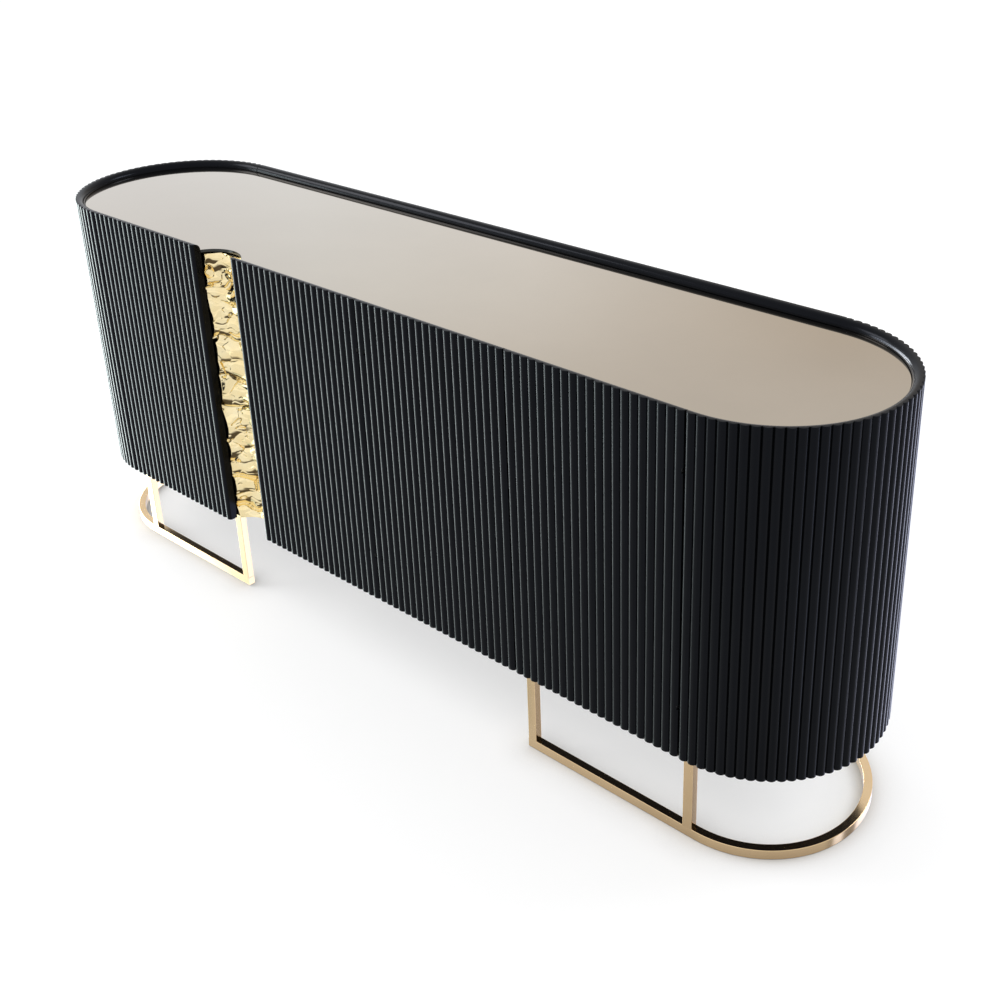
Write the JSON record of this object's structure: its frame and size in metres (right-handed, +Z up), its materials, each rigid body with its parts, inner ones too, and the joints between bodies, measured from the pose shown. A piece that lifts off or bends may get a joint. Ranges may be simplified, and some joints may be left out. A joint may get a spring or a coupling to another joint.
{
  "type": "sideboard buffet",
  "caption": "Long low sideboard with rounded reeded ends, hinged reeded doors, a gold relief niche, a sunk bronze mirror top and open metal tube bases.",
  "frame": {"origin": "centre of the footprint at floor level", "axes": "+X along the length to the viewer's right, +Y towards the back, +Z up; the doors face -Y"},
  "size_m": [2.032, 0.46, 0.82],
  "materials": {
    "black_lacquer": "satin black lacquer on fibreboard",
    "bronze_mirror": "bronze-tinted mirror glass",
    "gold_relief": "polished pale gold, cast relief",
    "champagne_metal": "polished champagne-gold plating on steel tube",
    "interior_veneer": "smoked oak veneer, satin",
    "zinc_steel": "zinc plated",
    "black_steel": "black powder coat",
    "black_plastic": "moulded",
    "clear_bumper": "soft clear bumper",
    "nylon": "moulded nylon"
  },
  "bodies": {
    "root": {"bottom_panel": "black_lacquer", "top_panel": "black_lacquer", "top_glass": "bronze_mirror", "back_panel": "black_lacquer", "end_panel_right": "black_lacquer", "end_panel_left": "black_lacquer", "end_partition_left": "interior_veneer", "end_partition_right": "interior_veneer", "centre_partition": "interior_veneer", "niche_partition_left": "interior_veneer", "niche_partition_right": "interior_veneer", "niche_core": "black_lacquer", "niche_relief": "gold_relief", "shelf_left": "interior_veneer", "shelf_centre": "interior_veneer", "shelf_right": "interior_veneer", "shelf_pins": "zinc_steel", "hinge_arm_screws": "zinc_steel", "base_screws": "zinc_steel", "magnet_catches": "black_plastic", "base_right_floor_rail": "champagne_metal", "base_left_floor_rail": "champagne_metal", "base_right_legs": "champagne_metal", "base_left_legs": "champagne_metal", "base_right_plates": "black_steel", "base_left_plates": "black_steel", "base_end_caps": "champagne_metal", "base_glides": "nylon", "door_1_hinge_arms": "black_steel", "door_2_hinge_arms": "black_steel", "door_3_hinge_arms": "black_steel", "door_4_hinge_arms": "black_steel"},
    "door_1_body": {"door_1": "black_lacquer", "door_1_hinge_leaves": "black_steel", "door_1_hinge_pins": "black_steel", "door_1_hinge_screws": "zinc_steel", "door_1_strike": "zinc_steel", "door_1_bumpers": "clear_bumper"},
    "door_2_body": {"door_2": "black_lacquer", "door_2_hinge_leaves": "black_steel", "door_2_hinge_pins": "black_steel", "door_2_hinge_screws": "zinc_steel", "door_2_strike": "zinc_steel", "door_2_bumpers": "clear_bumper"},
    "door_3_body": {"door_3": "black_lacquer", "door_3_hinge_leaves": "black_steel", "door_3_hinge_pins": "black_steel", "door_3_hinge_screws": "zinc_steel", "door_3_strike": "zinc_steel", "door_3_bumpers": "clear_bumper"},
    "door_4_body": {"door_4": "black_lacquer", "door_4_hinge_leaves": "black_steel", "door_4_hinge_pins": "black_steel", "door_4_hinge_screws": "zinc_steel", "door_4_strike": "zinc_steel", "door_4_bumpers": "clear_bumper"}
  },
  "joints": [
    {"name": "door_1_hinge", "type": "hinge", "parent": "root", "child": "door_1_body", "pos_m": [-0.77025, -0.223, 0.5], "axis": [0, 0, -1], "range_deg": [0, 90]},
    {"name": "door_2_hinge", "type": "hinge", "parent": "root", "child": "door_2_body", "pos_m": [0.05125, -0.223, 0.5], "axis": [0, 0, 1], "range_deg": [0, 90]},
    {"name": "door_3_hinge", "type": "hinge", "parent": "root", "child": "door_3_body", "pos_m": [0.06775, -0.223, 0.5], "axis": [0, 0, -1], "range_deg": [0, 90]},
    {"name": "door_4_hinge", "type": "hinge", "parent": "root", "child": "door_4_body", "pos_m": [0.77025, -0.223, 0.5], "axis": [0, 0, 1], "range_deg": [0, 90]}
  ]
}
